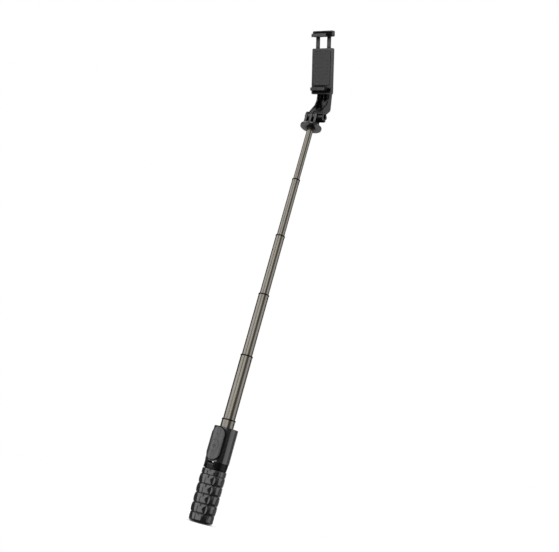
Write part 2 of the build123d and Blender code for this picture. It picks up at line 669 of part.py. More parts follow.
def head_stud():
    """The stud that holds the tilt base and the cap disc on the plug."""
    top = DISC_BOTTOM_Z + DISC_THICKNESS + 1.5
    return Pos(0, 0, top - STUD_LENGTH / 2) * Cylinder(STUD_RADIUS, STUD_LENGTH)


def tilt_nut():
    """The captive nut in the left fin."""
    low_x = stack_ends()[0] - NUT_BOSS_LENGTH
    nut = nut_prism(NUT_ACROSS_FLATS, NUT_THICKNESS - 0.2, low_x + 0.1)
    return nut - cross_bore(TILT_BOLT_RADIUS + SLIDING_FIT, low_x - 1, low_x + 5)


def tilt_bolt():
    """The bolt through the fins, which turns with the knob."""
    low_x = stack_ends()[0] - NUT_BOSS_LENGTH
    shank = cross_bore(TILT_BOLT_RADIUS, low_x + 0.3, KNOB_RECESS_X)
    head = nut_prism(BOLT_HEAD_ACROSS_FLATS, BOLT_HEAD_LENGTH, KNOB_RECESS_X)
    return shank + head


def thumb_knob():
    """The lobed knob that tightens the tilt hinge, with a hexagonal recess over the bolt's head."""
    knob = cross_bore(KNOB_RADIUS, KNOB_START_X, KNOB_START_X + KNOB_LENGTH)
    knob = fillet(knob.edges().filter_by(GeomType.CIRCLE), KNOB_EDGE_ROUNDING)
    for index in range(KNOB_LOBES):
        scallop = cross_bore(KNOB_SCALLOP_RADIUS, KNOB_START_X - 1, KNOB_START_X + KNOB_LENGTH + 1)
        reach = KNOB_RADIUS + KNOB_SCALLOP_RADIUS - KNOB_LOBE_DEPTH
        angle = KNOB_PHASE + 360 / KNOB_LOBES * index
        turn = Pos(0, 0, TILT_Z) * Rot(angle, 0, 0) * Pos(0, reach, -TILT_Z)
        knob -= turn * scallop
    knob -= nut_prism(BOLT_HEAD_ACROSS_FLATS + 0.04, KNOB_LENGTH, KNOB_RECESS_X - 0.001)
    return knob - cross_bore(TILT_BOLT_RADIUS + SEAT_GAP, KNOB_START_X - 1, KNOB_START_X + 3)


# Arm


def head_frame():
    """Frame on the tilt axis: x right, y up along the phone, z towards the phone's screen."""
    return Plane(
        origin=(0, 0, TILT_Z), x_dir=(1, 0, 0), z_dir=(0, -cos_deg(LEAN), -sin_deg(LEAN))
    ).location


def arm_prism(points, half_width, corner_radii=None):
    """A prism across the arm from a side outline of (back, up) points, some corners rounded."""
    outline = Polyline(*[(0, up, -back) for back, up in points], close=True)
    prism = extrude(make_face(outline), half_width, dir=(1, 0, 0), both=True)
    if corner_radii:
        for corner, radius in corner_radii.items():
            back, up = points[corner]
            edge = prism.edges().filter_by(Axis.X).sort_by_distance((0, up, -back))[0]
            prism = fillet(edge, radius)
    return prism


def arm_outline():
    """Side outline of the arm as (back, up) points, from the hinge round the front and down the back."""
    return [
        (2.0, 6.6),
        (12.8, 12.3),
        (21.2, 17.0),
        (26.5, 22.8),
        (ARM_FRONT_BACK, 29.6),
        (ARM_FRONT_BACK, ARM_TOP_UP),
        (34.5, ARM_TOP_UP),
        (38.4, 34.0),
        (33.8, 8.6),
        (17.5, 2.2),
        (3.0, -6.0),
    ]


def channel_outline():
    """Side outline of the arm's channel, open to the front, as (back, up) points."""
    return [
        (9.6, 30.0),
        (9.6, 6.0),
        (17.0, 4.6),
        (31.9, 10.4),
        (36.3, 34.0),
        (34.6, ARM_CHANNEL_TOP_UP),
        (9.6, ARM_CHANNEL_TOP_UP),
    ]


def rib_outline():
    """Side outline of a rib on the channel's back wall, as (back, up) points."""
    return [
        (30.6, ARM_RIB_START_UP + 4),
        (33.6, ARM_RIB_START_UP),
        (37.2, 34.0),
        (35.2, ARM_CHANNEL_TOP_UP + 1),
        (30.2, ARM_CHANNEL_TOP_UP + 1),
    ]


def tilt_arm():
    """The L-shaped arm, a channel open towards the front, with two fins at its foot."""
    arm = arm_prism(arm_outline(), ARM_WIDTH / 2, ARM_CORNER_RADII)
    arm -= arm_prism(channel_outline(), ARM_WIDTH / 2 - ARM_WALL, CHANNEL_CORNER_RADII)
    for side in (-1, 0, 1):
        rib = arm_prism(rib_outline(), ARM_RIB_THICKNESS / 2)
        arm += Pos(side * ARM_RIB_SPACING, 0, 0) * rib
    axis_clear = Rot(0, 90, 0) * Cylinder(FIN_RADIUS + ARM_AXIS_CLEARANCE, 4 * ARM_WIDTH)
    arm -= axis_clear & Box(4 * ARM_WIDTH, 4 * ARM_WIDTH, 4 * ARM_WIDTH)
    fins = Rot(0, 90, 0) * Cylinder(ARM_FIN_RADIUS, 4 * ARM_WIDTH)
    fins += arm_prism([(2.0, 6.6), (14.0, 12.9), (14.0, 1.0), (3.0, -6.0)], 2 * ARM_WIDTH)
    for index in (1, 3):
        slab = Pos(fin_x(index), 0, 0) * Box(FIN_THICKNESS, 2 * FAR, 2 * FAR)
        arm += fins & slab
    arm -= Rot(0, 90, 0) * Cylinder(TILT_BOLT_RADIUS + 2 * SLIDING_FIT, 4 * ARM_WIDTH)
    pivot = Pos(0, PIVOT_UP, 0)
    arm -= pivot * Cylinder(PIVOT_BOLT_RADIUS + PIVOT_FIT, 4 * FAR)
    arm -= pivot * Pos(0, 0, -ARM_FRONT_BACK - 10) * Cylinder(PIVOT_HEAD_SEAT_RADIUS, 14.0)
    return arm


# Phone clamp


def clamp_frame():
    """Frame on the middle of the clamp's face: x right, y up along the phone, z towards its screen."""
    return head_frame() * Pos(0, PIVOT_UP, -CLAMP_FACE_BACK)


def block(low, high):
    """A box between two opposite corners."""
    size = [b - a for a, b in zip(low, high)]
    middle = [(a + b) / 2 for a, b in zip(low, high)]
    return Pos(*middle) * Box(*size)


def jaw_panel():
    """The shallow recess in the front of a jaw's end block, above the phone."""
    reach = CLAMP_WIDTH / 2 - JAW_PANEL_RIM
    face = JAW_OPENING / 2
    top = face + JAW_BLOCK_HEIGHT - JAW_PANEL_RIM
    return block((-reach, face + 0.2, -JAW_PANEL_DEPTH), (reach, top, 1))


def jaw_hook(centre_x):
    """The shelf above the phone and the lip that reaches over its screen side."""
    face = JAW_OPENING / 2
    low_x = centre_x - JAW_SHELF_WIDTH / 2
    high_x = centre_x + JAW_SHELF_WIDTH / 2
    seat = face + JAW_PAD_THICKNESS
    top = seat + JAW_SHELF_THICKNESS
    shelf = block((low_x, seat, -JAW_PANEL_DEPTH - 0.5), (high_x, top, JAW_REACH))
    lip = block((low_x, face - JAW_LIP_OVERLAP, JAW_REACH - JAW_LIP_THICKNESS), (high_x, top, JAW_REACH))
    hook = shelf + lip
    return fillet(hook.edges().filter_by(Axis.X).group_by(Axis.Z)[-1], JAW_EDGE_ROUNDING)


def jaw_pad(centre_x):
    """The rubber pad under a jaw's shelf."""
    face = JAW_OPENING / 2
    high_z = JAW_REACH - JAW_LIP_THICKNESS - 0.1
    reach = JAW_SHELF_WIDTH / 2 - JAW_PAD_MARGIN
    pad = block((-reach, face, 0.3), (reach, face + JAW_PAD_THICKNESS - SEAT_GAP, high_z))
    for index in range(JAW_PAD_GROOVES):
        z = 1.4 + JAW_PAD_GROOVE_PITCH * index
        pad -= block((-reach - 1, face - 0.1, z), (reach + 1, face + 0.25, z + JAW_PAD_GROOVE_WIDTH))
    return Pos(centre_x, 0, 0) * pad


def upside_down():
    """Turns a jaw over for the bottom of the clamp, lip still towards the screen."""
    return Rot(0, 0, 180)


def cover_back_z():
    """Back of the rear cover in the clamp's frame."""
    return -CLAMP_THICKNESS


def clamp_body():
    """The front tray of the clamp with the fixed lower jaw."""
    half = CLAMP_WIDTH / 2
    bottom = -JAW_OPENING / 2 - JAW_BLOCK_HEIGHT
    cover_front = cover_back_z() + REAR_COVER_THICKNESS
    tray = block((-half, bottom, cover_front), (half, BODY_TOP_Y, 0))
    tray = fillet(tray.edges().filter_by(Axis.Z), CLAMP_CORNER)
    tray -= upside_down() * jaw_panel()
    tray += upside_down() * jaw_hook(-JAW_SHELF_CENTRE_X)
    inner = half - CLAMP_WALL
    cavity_top_y = BODY_TOP_Y - CLAMP_WALL
    tray -= block((-inner, CLAMP_CAVITY_BOTTOM_Y, cover_front - 1), (inner, cavity_top_y, -CLAMP_WALL))
    post_height = -CLAMP_WALL - cover_front
    post_z = cover_front + post_height / 2
    for side in (-1, 1):
        low_x, high_x = sorted(
            (side * (TONGUE_INNER_X - TONGUE_GAP), side * (TONGUE_OUTER_X + TONGUE_GAP))
        )
        tray -= block((low_x, BODY_TOP_Y - 3, cover_front - 1), (high_x, BODY_TOP_Y + 1, -CLAMP_WALL))
        tray += Pos(side * SPRING_X, SPRING_POST_Y, post_z) * Cylinder(SPRING_POST_RADIUS, post_height)
    for x, y in COVER_SCREW_PLACES:
        tray += Pos(x, y, post_z) * Cylinder(COVER_POST_OUTER_RADIUS, post_height)
        tray -= Pos(x, y, cover_front) * Cylinder(0.75, 4.6)
    return tray


def rear_cover():
    """The flat cover behind the clamp, with the boss that turns on the arm."""
    half = CLAMP_WIDTH / 2
    bottom = -JAW_OPENING / 2 - JAW_BLOCK_HEIGHT
    back = cover_back_z()
    front = back + REAR_COVER_THICKNESS - SEAT_GAP
    cover = block((-half, bottom, back), (half, BODY_TOP_Y, front))
    cover = fillet(cover.edges().filter_by(Axis.Z), CLAMP_CORNER)
    boss = Pos(0, 0, (front - CLAMP_WALL - 0.1) / 2) * Cylinder(PIVOT_BOSS_RADIUS, -CLAMP_WALL - 0.1 - front)
    outline = RegularPolygon(PIVOT_NUT_ACROSS_FLATS / 2 + SCREW_FIT, 6, major_radius=False)
    nut_seat = extrude(Pos(0, 0, front - 0.4) * outline, FAR)
    cover += boss
    cover -= nut_seat
    cover -= Cylinder(PIVOT_BOLT_RADIUS + SEAT_GAP, FAR)
    for x, y in COVER_SCREW_PLACES:
        cover -= Pos(x, y, back) * Cylinder(0.85, 6)
        cover -= Pos(x, y, back) * Cylinder(1.5, 1.5)
    return cover


def clamp_screws():
    """The four screws of the rear cover."""
    back = cover_back_z()
    screw = Pos(0, 0, back + 0.4) * (Cylinder(1.4, 0.66) - Pos(0, 0, -0.2) * Cylinder(0.5, 0.5))
    screw += Pos(0, 0, back + 1.9) * Cylinder(0.7, 2.6)
    return Compound([Pos(x, y, 0) * screw for x, y in COVER_SCREW_PLACES])


def back_pad():
    """The thin rubber pad on the clamp's face behind the phone."""
    pad = block(
        (-BACK_PAD_REACH, BACK_PAD_BOTTOM_Y, SEAT_GAP), (BACK_PAD_REACH, BACK_PAD_TOP_Y, BACK_PAD_THICKNESS)
    )
    pad = fillet(pad.edges().filter_by(Axis.Z), BACK_PAD_CORNER)
    for index in range(BACK_PAD_GROOVES):
        y = BACK_PAD_FIRST_GROOVE_Y + BACK_PAD_GROOVE_PITCH * index
        low = (-BACK_PAD_GROOVE_REACH, y, BACK_PAD_THICKNESS - 0.3)
        pad -= block(low, (BACK_PAD_GROOVE_REACH, y + BACK_PAD_GROOVE_WIDTH, 1.0))
    return pad


def upper_jaw():
    """The sliding jaw, on two guide tongues that run in the clamp's body."""
    back = cover_back_z()
    half = CLAMP_WIDTH / 2
    face = JAW_OPENING / 2
    jaw = block((-half, face + 0.2, back), (half, face + JAW_BLOCK_HEIGHT, 0))
    jaw = fillet(jaw.edges().filter_by(Axis.Z), CLAMP_CORNER)
    jaw -= jaw_panel()
    jaw += jaw_hook(JAW_SHELF_CENTRE_X)
    low_z = back + REAR_COVER_THICKNESS + 0.3
    high_z = low_z + TONGUE_THICKNESS
    for side in (-1, 1):
        low_x, high_x = sorted((side * TONGUE_INNER_X, side * TONGUE_OUTER_X))
        jaw += block((low_x, TONGUE_BOTTOM_Y, low_z), (high_x, face + 2, high_z))
        tab_reach = half - CLAMP_WALL - TONGUE_GAP
        tab_low, tab_high = sorted((side * (TONGUE_OUTER_X - 0.5), side * tab_reach))
        jaw += block((tab_low, TONGUE_BOTTOM_Y, low_z), (tab_high, TONGUE_BOTTOM_Y + JAW_TAB_HEIGHT, high_z))
    return jaw


def clamp_springs():
    """The two pull springs beside the tongues, as plain sleeves."""
    top = TONGUE_BOTTOM_Y - 0.1
    bottom = SPRING_POST_Y + 1.0
    middle_z = (cover_back_z() + REAR_COVER_THICKNESS - CLAMP_WALL) / 2
    sleeve = Cylinder(SPRING_RADIUS, top - bottom) - Cylinder(SPRING_RADIUS - SPRING_WALL, top - bottom)
    spring = Rot(90, 0, 0) * sleeve
    return Compound([Pos(side * SPRING_X, (top + bottom) / 2, middle_z) * spring for side in (-1, 1)])


def swivel_bolt():
    """The bolt that the clamp turns on, with its head at the back of the arm."""
    head_front = -ARM_FRONT_BACK + CLAMP_FACE_BACK - 3.1
    shank_top = -CLAMP_WALL - 0.35
    bolt = Pos(0, 0, (shank_top + head_front) / 2) * Cylinder(PIVOT_BOLT_RADIUS, shank_top - head_front)
    head = Pos(0, 0, head_front - 1.0) * Cylinder(PIVOT_HEAD_RADIUS, 2.0)
    socket = extrude(Pos(0, 0, head_front - 2.1) * RegularPolygon(1.3, 6, major_radius=False), 1.2)
    return bolt + (head - socket)


def swivel_nut():
    """The nut in the rear cover's boss."""
    front = cover_back_z() + REAR_COVER_THICKNESS
    outline = RegularPolygon(PIVOT_NUT_ACROSS_FLATS / 2, 6, major_radius=False)
    nut = extrude(Pos(0, 0, front - 0.39) * outline, 2.3)
    return nut - Cylinder(PIVOT_BOLT_RADIUS + SEAT_GAP, FAR)


def swivel_washer():
    """The friction washer between the clamp and the arm."""
    gap = ARM_FRONT_BACK - CLAMP_FACE_BACK - CLAMP_THICKNESS
    middle = cover_back_z() - gap / 2
    washer = Cylinder(WASHER_RADIUS, gap - 0.1) - Cylinder(PIVOT_BOLT_RADIUS + SEAT_GAP, gap)
    return Pos(0, 0, middle) * washer


def all_parts():
    """Every piece by name, where it lies on the object."""
    parts = {
        "hinge_hub": hinge_hub(),
        "hinge_pins": hinge_pins(),
        "hub_screws": hub_screws(),
        "handle_housing": handle_housing(),
        "housing_ring": housing_ring(),
        "remote_cradle": remote_cradle(),
        "remote_back_shell": remote_back_shell(),
        "remote_front_shell": remote_front_shell(),
        "remote_button": remote_button(),
        "remote_board": remote_board(),
        "remote_cell": remote_cell(),
        "remote_lens": remote_lens(),
    }
    leg_pieces = {"shell": leg_shell(), "cover": leg_cover(), "screws": leg_screws(), "foot": foot_pad()}
    for side, azimuth in LEG_AZIMUTHS.items():
        for piece, solid in leg_pieces.items():
            parts[f"{side}_leg_{piece}"] = facing(azimuth) * solid
    for number in range(1, TUBE_COUNT + 1):
        parts[f"tube_{number}"] = tube(number)
    for number in range(1, TUBE_COUNT):
        parts[f"collar_{number}"] = collar(number)
    for number in range(2, TUBE_COUNT + 1):
        parts[f"friction_shoe_{number}"] = friction_shoe(number)
    parts["pole_plug"] = pole_plug()
    parts["cap_disc"] = cap_disc()
    parts["head_stud"] = head_stud()
    parts["tilt_base"] = tilt_base()
    parts["tilt_nut"] = tilt_nut()
    parts["tilt_bolt"] = tilt_bolt()
    parts["thumb_knob"] = thumb_knob()
    parts["tilt_arm"] = head_frame() * tilt_arm()
    clamp_pieces = {
        "clamp_body": clamp_body(),
        "clamp_rear_cover": rear_cover(),
        "clamp_screws": clamp_screws(),
        "clamp_back_pad": back_pad(),
        "clamp_springs": clamp_springs(),
        "lower_jaw_pad": upside_down() * jaw_pad(-JAW_SHELF_CENTRE_X),
        "upper_jaw": upper_jaw(),
        "upper_jaw_pad": jaw_pad(JAW_SHELF_CENTRE_X),
        "swivel_bolt": swivel_bolt(),
        "swivel_nut": swivel_nut(),
        "swivel_washer": swivel_washer(),
    }
    for name, solid in clamp_pieces.items():
        parts[name] = clamp_frame() * solid
    return parts


os.makedirs("parts", exist_ok=True)
for part_name, part_shape in all_parts().items():
    export_step(part_shape, f"parts/{part_name}.step")
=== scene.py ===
"""Selfie stick: finished surfaces, materials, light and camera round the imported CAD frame."""

import json
import math

import bmesh
import bpy
from mathutils import Matrix, Vector


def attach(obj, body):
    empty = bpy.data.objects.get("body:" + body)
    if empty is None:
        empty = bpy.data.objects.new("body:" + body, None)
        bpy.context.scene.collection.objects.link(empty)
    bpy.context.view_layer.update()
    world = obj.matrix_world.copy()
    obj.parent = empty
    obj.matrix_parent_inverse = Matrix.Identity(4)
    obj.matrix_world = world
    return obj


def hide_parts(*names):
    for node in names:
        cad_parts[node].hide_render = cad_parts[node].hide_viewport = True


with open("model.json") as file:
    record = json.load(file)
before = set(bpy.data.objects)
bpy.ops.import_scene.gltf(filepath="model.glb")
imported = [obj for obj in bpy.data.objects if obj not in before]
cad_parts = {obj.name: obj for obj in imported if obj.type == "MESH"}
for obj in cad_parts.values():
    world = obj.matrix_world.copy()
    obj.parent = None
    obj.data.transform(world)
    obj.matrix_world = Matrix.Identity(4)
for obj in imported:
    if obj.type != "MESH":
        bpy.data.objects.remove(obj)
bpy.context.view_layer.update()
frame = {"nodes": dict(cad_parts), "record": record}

MM = 0.001

# Grip, in millimetres and degrees as in the CAD model
GRIP_RADIUS = 15.65
FIRST_GROOVE_Z = 11.3
STUD_PITCH = 11.84
STUD_ROWS = 4
LEG_TOP_Z = 65.0
GRIP_END_ROUNDING = 4.0
HALF_GAP = 0.3
LEG_HALF_ANGLE = 60.0
LEG_AZIMUTHS = {"front": -90.0, "right": 30.0, "left": 150.0}

# Leg skin, in millimetres and degrees; angles across a leg are from its middle
SKIN_TOP_Z = 65.6
SKIN_TOP_BEVEL = 0.35
SKIN_DEPTH = 1.1
TOLERANCE = 0.01
SKIN_EDGE_ROUNDING = 0.10
SKIN_EDGE_ANGLE = 24.0
GROOVE_HALF_WIDTH = 0.6
GROOVE_FLOOR_HALF_WIDTH = 0.18
GROOVE_DEPTH = 0.9
PLAIN_MARGIN = 0.05
FACE_BULGE = 0.35
EDGE_BULGE = 0.75
VALLEY_BULGE = 0.02
VALLEY_ANGLE = 37.0
VALLEY_HALF_ANGLE = 0.4
FACET_REACH = 20.0
CRESCENT_REACH = 8.0
PLAIN_ANGLES = (0.0, 10.0, 20.0, 29.0, 33.0, 37.5, 41.6, 42.4, 46.0, 50.0, 53.4, 56.0)
END_STEPS = 8
STUD_STEPS = 14
STRIP_STEPS = 3

# Head, in millimetres and radians
LEAN = math.radians(30.0)
TILT_Z = 573.3
PIVOT_UP = 76.5
CLAMP_FACE_BACK = 22.45

# Pull springs, in millimetres in the clamp's own frame
SPRING_X = 13.2
SPRING_DEPTH = -2.9
SPRING_BOTTOM = -32.4
SPRING_TOP = -3.3
SPRING_TURNS = 40
COIL_RADIUS = 0.92
WIRE_RADIUS = 0.17
STEPS_IN_TURN = 12
WIRE_SIDES = 6


# Materials

PLASTIC_IOR = 1.5
EDGE_SAMPLES = 4
CAVITY_SAMPLES = 6

# Features to a metre of the patterns on moulded plastic
GRAIN_SCALE = 5200.0
CLOUD_SCALE = 70.0
SMUDGE_SCALE = 260.0

# Cosine of the turn of a rounded edge's normal, from the full painted edge highlight to none
EDGE_HIGHLIGHT_TURN = (0.84, 0.98)

# Open share of the sky, from a deep cavity to an open face, and the shine left in the cavity as painted
# shade
CAVITY_OPENING = (0.60, 0.98)
SHADED_CAVITY_SHINE = 0.02


class Nodes:
    """A small helper that builds one procedural material."""

    def __init__(self, name, color, roughness, metallic=0.0):
        self.material = bpy.data.materials.new(name)
        self.material.use_nodes = True
        self.tree = self.material.node_tree
        self.shader = self.tree.nodes["Principled BSDF"]
        self.shader.inputs["Base Color"].default_value = (*color, 1.0)
        self.shader.inputs["Roughness"].default_value = roughness
        self.shader.inputs["Metallic"].default_value = metallic

    def add(self, kind, **settings):
        """Adds a node and sets its properties and its inputs."""
        node = self.tree.nodes.new(kind)
        for key, value in settings.items():
            if key in node.inputs:
                node.inputs[key].default_value = value
            else:
                setattr(node, key, value)
        return node

    def link(self, source, target):
        """Joins an output socket to an input socket."""
        self.tree.links.new(source, target)

    def place(self, stretch=(1.0, 1.0, 1.0)):
        """Object coordinates, stretched along the axes."""
        coordinate = self.add("ShaderNodeTexCoord")
        mapping = self.add("ShaderNodeMapping")
        mapping.inputs["Scale"].default_value = stretch
        self.link(coordinate.outputs["Object"], mapping.inputs["Vector"])
        return mapping.outputs["Vector"]

    def noise(self, scale, detail=2.0, stretch=(1.0, 1.0, 1.0)):
        """A noise pattern with so many features to a metre."""
        noise = self.add("ShaderNodeTexNoise", Scale=scale, Detail=detail)
        self.link(self.place(stretch), noise.inputs["Vector"])
        return noise.outputs["Fac"]

    def spread(self, value, low, high, start=0.3, end=0.7):
        """Maps a pattern to a range of numbers."""
        ramp = self.add("ShaderNodeMapRange")
        ramp.inputs["From Min"].default_value = start
        ramp.inputs["From Max"].default_value = end
        ramp.inputs["To Min"].default_value = low
        ramp.inputs["To Max"].default_value = high
        self.link(value, ramp.inputs["Value"])
        return ramp.outputs["Result"]

    def mix(self, factor, first, second):
        """Mixes two colours by a pattern."""
        mix = self.add("ShaderNodeMix", data_type="RGBA")
        self.link(factor, mix.inputs["Factor"])
        for index, color in ((6, first), (7, second)):
            if isinstance(color, tuple):
                mix.inputs[index].default_value = (*color, 1.0)
            else:
                self.link(color, mix.inputs[index])
        return mix.outputs[2]

    def bump(self, height, distance, after=None):
        """Bump from a pattern, with its height in metres, on top of another normal if one is given."""
        bump = self.add("ShaderNodeBump", Distance=distance, Strength=1.0)
        self.link(height, bump.inputs["Height"])
        if after is not None:
            self.link(after, bump.inputs["Normal"])
        return bump.outputs["Normal"]

    def round_edges(self, radius):
        """A normal that rounds every edge off to a radius in metres."""
        bevel = self.add("ShaderNodeBevel", Radius=radius)
        bevel.samples = EDGE_SAMPLES
        return bevel.outputs["Normal"]

    def edges(self, rounded, low, high):
        """How far a point is on a rounded edge, from 0 to 1; it sets where the painted edge highlight goes.
        """
        geometry = self.add("ShaderNodeNewGeometry")
        turn = self.add("ShaderNodeVectorMath", operation="DOT_PRODUCT")
        self.link(rounded, turn.inputs[0])
        self.link(geometry.outputs["Normal"], turn.inputs[1])
        return self.spread(turn.outputs["Value"], 1.0, 0.0, low, high)

    def paint_cavity_shade(self, reach, shine):
        """Paints shade into deep corners: takes the shine out where ambient occlusion finds the surroundings
        close.
        """
        cover = self.add("ShaderNodeAmbientOcclusion", Distance=reach)
        cover.samples = CAVITY_SAMPLES
        # Painted shade: the shine drops where cavities are covered
        gloss = self.spread(cover.outputs["AO"], SHADED_CAVITY_SHINE, shine, *CAVITY_OPENING)
        self.link(gloss, self.shader.inputs["Specular IOR Level"])

    def finish(self, color=None, roughness=None, normal=None):
        """Joins the patterns to the shader."""
        for value, socket in ((color, "Base Color"), (roughness, "Roughness"), (normal, "Normal")):
            if value is not None:
                self.link(value, self.shader.inputs[socket])
        return self.material


def scaled(color, factor):
    """A colour made lighter or darker."""
    return tuple(factor * channel for channel in color)


def moulded_plastic(name, color, edge_highlight, roughness, grain_height, rounding, cavity_shade_reach=0.0, shine=0.5):
    """Moulded plastic with a fine grain, handling marks and a painted highlight that lightens its rounded
    edges.

    The grain height, the rounding of the edges and the reach of the painted cavity shade are in metres.
    """
    nodes = Nodes(name, color, roughness)
    nodes.shader.inputs["Specular IOR Level"].default_value = shine
    # Painted shade in cavities, where a reach is given
    if cavity_shade_reach:
        nodes.paint_cavity_shade(cavity_shade_reach, shine)
    rounded = nodes.round_edges(rounding)
    nodes.shader.inputs["IOR"].default_value = PLASTIC_IOR
    grain = nodes.noise(GRAIN_SCALE, 3.0)
    cloud = nodes.noise(CLOUD_SCALE, 3.0)
    smudge = nodes.noise(SMUDGE_SCALE, 4.0)
    tone = nodes.mix(nodes.spread(cloud, 0.0, 0.6), color, scaled(color, 1.25))
    # Painted highlight: the rounded edges are lightened towards the edge colour
    tone = nodes.mix(nodes.edges(rounded, *EDGE_HIGHLIGHT_TURN), tone, edge_highlight)
    rough = nodes.spread(smudge, roughness - 0.03, roughness + 0.05)
    return nodes.finish(tone, rough, nodes.bump(grain, grain_height, after=rounded))


def anodised_metal(name, color, roughness):
    """Drawn tube with faint lines along its length."""
    nodes = Nodes(name, color, roughness, metallic=1.0)
    grain = nodes.noise(2600.0, 4.0, (1.0, 1.0, 0.015))
    cloud = nodes.noise(45.0, 3.0, (1.0, 1.0, 0.3))
    rub = nodes.noise(900.0, 3.0, (1.0, 1.0, 0.05))
    tone = nodes.mix(nodes.spread(cloud, 0.0, 1.0), scaled(color, 0.93), scaled(color, 1.06))
    rough = nodes.spread(rub, roughness - 0.04, roughness + 0.05)
    return nodes.finish(tone, rough, nodes.bump(grain, 0.0000007))


def machined_steel(name, color, roughness):
    """Plated steel with fine turning marks."""
    nodes = Nodes(name, color, roughness, metallic=1.0)
    marks = nodes.noise(4200.0, 4.0, (1.0, 0.25, 1.0))
    stain = nodes.noise(500.0, 3.0)
    tone = nodes.mix(nodes.spread(stain, 0.0, 1.0), scaled(color, 0.82), color)
    rough = nodes.spread(marks, roughness - 0.06, roughness + 0.1)
    return nodes.finish(tone, rough, nodes.bump(marks, 0.000005))


def soft_rubber(name, color, roughness):
    """Matt rubber with a fine moulded pebble."""
    nodes = Nodes(name, color, roughness)
    pebble = nodes.add("ShaderNodeTexVoronoi", Scale=2400.0)
    nodes.link(nodes.place(), pebble.inputs["Vector"])
    dust = nodes.noise(320.0, 5.0)
    dusty = tuple(1.9 * channel + 0.004 for channel in color)
    tone = nodes.mix(nodes.spread(dust, 0.0, 0.8), color, dusty)
    rough = nodes.spread(dust, roughness - 0.06, roughness + 0.08)
    return nodes.finish(tone, rough, nodes.bump(pebble.outputs["Distance"], 0.00003))


def circuit_board(name):
    """Green solder mask with copper tracks just under it."""
    nodes = Nodes(name, (0.012, 0.10, 0.035), 0.35)
    tracks = nodes.add("ShaderNodeTexBrick", Scale=260.0)
    nodes.link(nodes.place(), tracks.inputs["Vector"])
    tone = nodes.mix(tracks.outputs["Fac"], (0.010, 0.085, 0.03), (0.03, 0.17, 0.06))
    rough = nodes.spread(nodes.noise(600.0), 0.3, 0.42)
    return nodes.finish(tone, rough, nodes.bump(tracks.outputs["Fac"], 0.00002))


def smoked_plastic(name):
    """The dark, half clear light pin of the remote."""
    nodes = Nodes(name, (0.004, 0.004, 0.005), 0.12)
    nodes.shader.inputs["Transmission Weight"].default_value = 0.2
    nodes.shader.inputs["Specular IOR Level"].default_value = 0.05
    haze = nodes.noise(900.0, 3.0)
    return nodes.finish(None, nodes.spread(haze, 0.08, 0.2), nodes.bump(haze, 0.000006))


BLACK = (0.0070, 0.0071, 0.0075)
# Lighter colour painted on rounded edges as a highlight
EDGE_HIGHLIGHT = (0.03, 0.03, 0.031)
POLISHED_GRAIN = 0.0000008
SATIN_GRAIN = 0.000001
MATT_GRAIN = 0.000002

# The second colour of each plastic is its painted edge highlight
PLASTICS = {
    "leg_plastic": dict(
        color=BLACK, edge_highlight=EDGE_HIGHLIGHT, roughness=0.13, grain_height=POLISHED_GRAIN, rounding=0.00025
    ),
    "housing_plastic": dict(
        color=BLACK, edge_highlight=EDGE_HIGHLIGHT, roughness=0.13, grain_height=POLISHED_GRAIN, rounding=0.00025
    ),
    "dark_plastic": dict(
        color=(0.0016, 0.0016, 0.0017),
        edge_highlight=(0.006, 0.006, 0.006),
        roughness=0.28,
        grain_height=MATT_GRAIN,
        rounding=0.0003,
        cavity_shade_reach=0.008,
        shine=0.08,
    ),
    "head_plastic": dict(
        color=(0.0030, 0.0030, 0.0032),
        edge_highlight=(0.05, 0.05, 0.051),
        roughness=0.19,
        grain_height=MATT_GRAIN,
        rounding=0.0005,
        cavity_shade_reach=0.012,
        shine=0.44,
    ),
    "cap_plastic": dict(
        color=(0.0060, 0.0060, 0.0064),
        edge_highlight=EDGE_HIGHLIGHT,
        roughness=0.22,
        grain_height=SATIN_GRAIN,
        rounding=0.0003,
        cavity_shade_reach=0.010,
    ),
    "collar_plastic": dict(
        color=(0.0012, 0.0012, 0.0013),
        edge_highlight=(0.002, 0.002, 0.002),
        roughness=0.30,
        grain_height=SATIN_GRAIN,
        rounding=0.0002,
        shine=0.06,
    ),
    "shoe_plastic": dict(
        color=(0.0015, 0.0015, 0.0016),
        edge_highlight=(0.004, 0.004, 0.004),
        roughness=0.42,
        grain_height=0.000003,
        rounding=0.0002,
        shine=0.06,
    ),
    "remote_plastic": dict(
        color=BLACK, edge_highlight=EDGE_HIGHLIGHT, roughness=0.30, grain_height=POLISHED_GRAIN, rounding=0.0003, cavity_shade_reach=0.0016
    ),
    "button_plastic": dict(
        color=(0.0080, 0.0081, 0.0085),
        edge_highlight=EDGE_HIGHLIGHT,
        roughness=0.30,
        grain_height=POLISHED_GRAIN,
        rounding=0.0001,
        cavity_shade_reach=0.0016,
    ),
    "hinge_plastic": dict(
        color=(0.0060, 0.0061, 0.0064),
        edge_highlight=EDGE_HIGHLIGHT,
        roughness=0.22,
        grain_height=POLISHED_GRAIN,
        rounding=0.00025,
        cavity_shade_reach=0.006,
        shine=0.24,
    ),
}

SURFACES = {name: moulded_plastic(name, **settings) for name, settings in PLASTICS.items()}
SURFACES["pole_metal"] = anodised_metal("pole_metal", (0.106, 0.099, 0.085), 0.20)
SURFACES["screw_steel"] = machined_steel("screw_steel", (0.36, 0.36, 0.37), 0.32)
SURFACES["spring_steel"] = machined_steel("spring_steel", (0.42, 0.42, 0.43), 0.25)
SURFACES["cell_metal"] = machined_steel("cell_metal", (0.56, 0.56, 0.57), 0.22)
SURFACES["pad_rubber"] = soft_rubber("pad_rubber", (0.010, 0.010, 0.0105), 0.72)
SURFACES["board"] = circuit_board("circuit_board")
SURFACES["lens_clear"] = smoked_plastic("clear_plastic")

NODE_SLOTS = {part["node"]: part["material_slot"] for part in frame["record"]["subparts"]}


# Pieces


